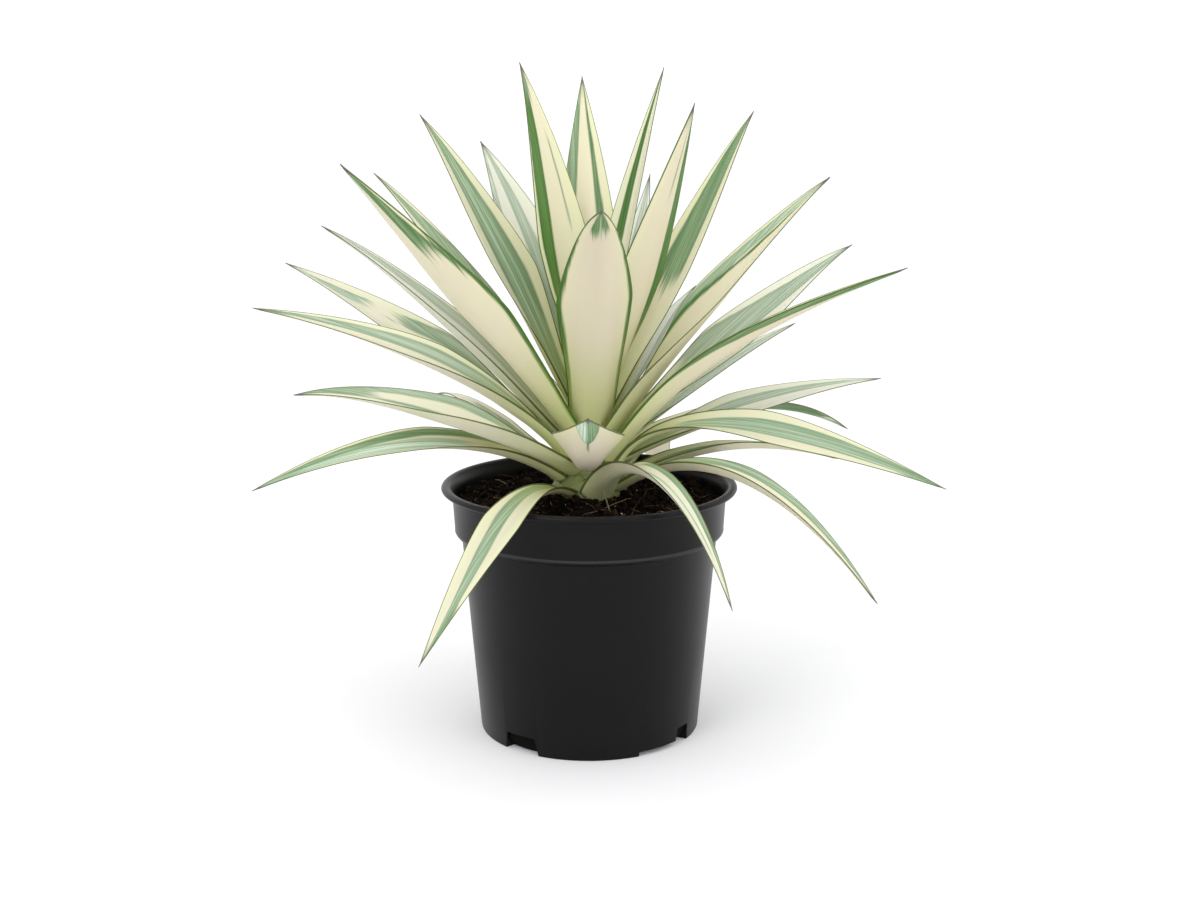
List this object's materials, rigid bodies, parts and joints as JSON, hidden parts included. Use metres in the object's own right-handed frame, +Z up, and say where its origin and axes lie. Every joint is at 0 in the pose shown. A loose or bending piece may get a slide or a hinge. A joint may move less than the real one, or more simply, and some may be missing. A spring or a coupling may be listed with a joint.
{
  "type": "potted furcraea",
  "caption": "Variegated furcraea: a rosette of long channelled pointed leaves on a short stem, standing in soil in a round tapering nursery pot with a rolled lip and drain notches.",
  "frame": {"origin": "centre of the pot's flat foot, on the surface it stands on", "axes": "+Z up along the pot's axis; -Y is the side the front of the rosette faces; +X is to the right of a viewer who faces that side"},
  "size_m": [0.4521, 0.3972, 0.4261],
  "materials": {
    "pot": "satin black moulded plastic",
    "soil": "rough dark peat and bark",
    "stem": "matte plant tissue",
    "leaf": "satin leaf, grey-green with cream margins"
  },
  "bodies": {
    "root": {"pot": "pot", "soil": "soil", "stem": "stem", "leaf_01": "leaf", "leaf_02": "leaf", "leaf_03": "leaf", "leaf_04": "leaf", "leaf_05": "leaf", "leaf_06": "leaf", "leaf_07": "leaf", "leaf_08": "leaf", "leaf_09": "leaf", "leaf_10": "leaf", "leaf_11": "leaf", "leaf_12": "leaf", "leaf_13": "leaf", "leaf_14": "leaf", "leaf_15": "leaf", "leaf_16": "leaf", "leaf_17": "leaf", "leaf_18": "leaf", "leaf_19": "leaf", "leaf_20": "leaf", "leaf_21": "leaf", "leaf_22": "leaf", "leaf_23": "leaf", "leaf_24": "leaf", "leaf_25": "leaf", "leaf_26": "leaf", "leaf_27": "leaf", "leaf_28": "leaf", "leaf_29": "leaf", "leaf_30": "leaf", "leaf_31": "leaf", "leaf_32": "leaf", "leaf_33": "leaf", "leaf_34": "leaf"}
  },
  "joints": []
}
